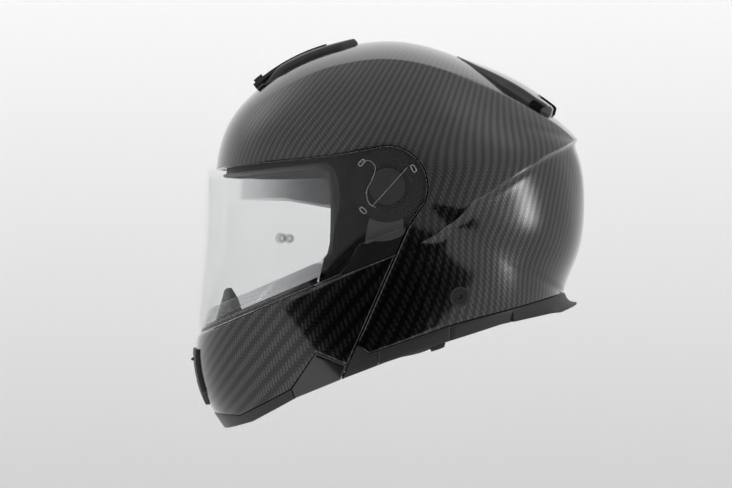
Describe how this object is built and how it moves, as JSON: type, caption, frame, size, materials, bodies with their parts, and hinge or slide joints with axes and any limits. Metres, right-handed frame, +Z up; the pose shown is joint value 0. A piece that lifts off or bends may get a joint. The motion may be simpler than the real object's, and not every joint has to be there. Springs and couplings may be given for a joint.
{
  "type": "flip-up motorcycle helmet",
  "caption": "Modular full-face motorcycle helmet: carbon shell, hinged chin bar, clear visor, drop-down sun visor, vents and strap.",
  "frame": {"origin": "where the axis shared by the visor and the chin bar crosses the mid-plane, at the middle of the head cavity", "axes": "upright as worn: +Z up, the helmet faces -Y, +X is the wearer's left"},
  "size_m": [0.2534, 0.3397, 0.3336],
  "materials": {
    "carbon": "clear-coated carbon twill",
    "black_gloss": "gloss black",
    "black_matte": "fine-grained matte black",
    "black_rubber": "soft black rubber",
    "foam": "expanded foam beads",
    "lining": "brushed knit",
    "webbing": "woven webbing",
    "steel": "satin",
    "dark_steel": "black oxide",
    "clear": "clear polycarbonate",
    "smoke": "smoke tint",
    "grey_plastic": "matte grey"
  },
  "bodies": {
    "shell": {"outer_shell": "carbon", "shell_lower_trim": "black_matte", "nape_lip": "black_rubber", "eye_port_gasket": "black_rubber", "impact_liner": "foam", "crown_pad": "lining", "cheek_pad_left": "lining", "cheek_pad_right": "lining", "neck_roll": "lining", "crown_vent_frame": "black_gloss", "rear_fairing": "black_gloss", "pivot_base_plate_left": "grey_plastic", "pivot_base_plate_right": "grey_plastic", "base_plate_screws": "dark_steel", "pivot_bolts": "dark_steel", "strap_anchor_bezels": "black_matte", "strap_anchor_bolts": "dark_steel", "chin_strap_left": "webbing", "chin_strap_right": "webbing", "buckle_body": "steel", "buckle_pin": "steel", "latch_strikers": "steel", "bracket_rivets": "steel", "sun_visor_clips": "steel"},
    "chin_bar": {"chin_bar_shell": "carbon", "chin_bar_arm_left": "black_gloss", "chin_bar_arm_right": "black_gloss", "arm_screws": "dark_steel", "chin_side_trim_left": "black_gloss", "chin_side_trim_right": "black_gloss", "chin_lower_trim": "black_matte", "chin_bar_gasket": "black_rubber", "chin_liner": "lining", "chin_vent_frame": "black_matte", "breath_guard": "black_rubber", "chin_curtain": "lining", "latch_hook_pins": "steel"},
    "visor": {"visor": "clear", "visor_pod_left": "grey_plastic", "visor_pod_right": "grey_plastic", "insert_pins": "grey_plastic"},
    "crown_slider": {"crown_vent_slider": "black_matte"},
    "sun_visor": {"sun_visor": "smoke"},
    "sun_visor_lever": {"sun_visor_lever": "black_matte"},
    "buckle_lever": {"buckle_lever": "dark_steel"},
    "ratchet": {"ratchet_strip": "black_matte"},
    "latch_hook_left": {"latch_hook_left": "dark_steel"},
    "latch_hook_right": {"latch_hook_right": "dark_steel"},
    "release_button": {"release_button": "black_matte"},
    "chin_vent_flap": {"chin_vent_flap": "black_matte"}
  },
  "joints": [
    {"name": "chin_bar_hinge", "type": "hinge", "parent": "shell", "child": "chin_bar", "pos_m": [0, 0, 0], "axis": [-1, 0, 0], "range_deg": [0, 84]},
    {"name": "visor_hinge", "type": "hinge", "parent": "chin_bar", "child": "visor", "pos_m": [0, 0, 0], "axis": [-1, 0, 0], "range_deg": [0, 46]},
    {"name": "sun_visor_hinge", "type": "hinge", "parent": "shell", "child": "sun_visor", "pos_m": [0, 0, 0], "axis": [-1, 0, 0], "range_deg": [-32, 0]},
    {"name": "sun_visor_lever_slide", "type": "slide", "parent": "shell", "child": "sun_visor_lever", "axis": [0, 0.949, 0.3153], "range_m": [-0.022, 0]},
    {"name": "crown_vent_slide", "type": "hinge", "parent": "shell", "child": "crown_slider", "pos_m": [0, -0.0075, -0.0282], "axis": [-1, 0, 0], "range_deg": [0, 4.5]},
    {"name": "buckle_lever_hinge", "type": "hinge", "parent": "shell", "child": "buckle_lever", "pos_m": [0.029, -0.047, -0.1582], "axis": [0, -1, 0], "range_deg": [0, 65]},
    {"name": "ratchet_slide", "type": "slide", "parent": "shell", "child": "ratchet", "axis": [-1, 0, 0], "range_m": [0, 0.03]},
    {"name": "release_button_slide", "type": "slide", "parent": "chin_bar", "child": "release_button", "axis": [0, -0.3338, 0.9426], "range_m": [0, 0.004]},
    {"name": "latch_hook_left_hinge", "type": "hinge", "parent": "chin_bar", "child": "latch_hook_left", "pos_m": [0.0845, -0.098, -0.118], "axis": [1, 0, 0], "range_deg": [0, 16]},
    {"name": "latch_hook_right_hinge", "type": "hinge", "parent": "chin_bar", "child": "latch_hook_right", "pos_m": [-0.0845, -0.098, -0.118], "axis": [1, 0, 0], "range_deg": [0, 16]},
    {"name": "chin_vent_flap_hinge", "type": "hinge", "parent": "chin_bar", "child": "chin_vent_flap", "pos_m": [0, -0.1649, -0.1448], "axis": [-1, 0, 0], "range_deg": [0, 30]}
  ],
  "couplings": [
    {"joint": "sun_visor_lever_slide", "follows": "sun_visor_hinge", "m_per_rad": 0.039391},
    {"joint": "latch_hook_left_hinge", "follows": "release_button_slide", "rad_per_m": 69.813},
    {"joint": "latch_hook_right_hinge", "follows": "release_button_slide", "rad_per_m": 69.813}
  ]
}
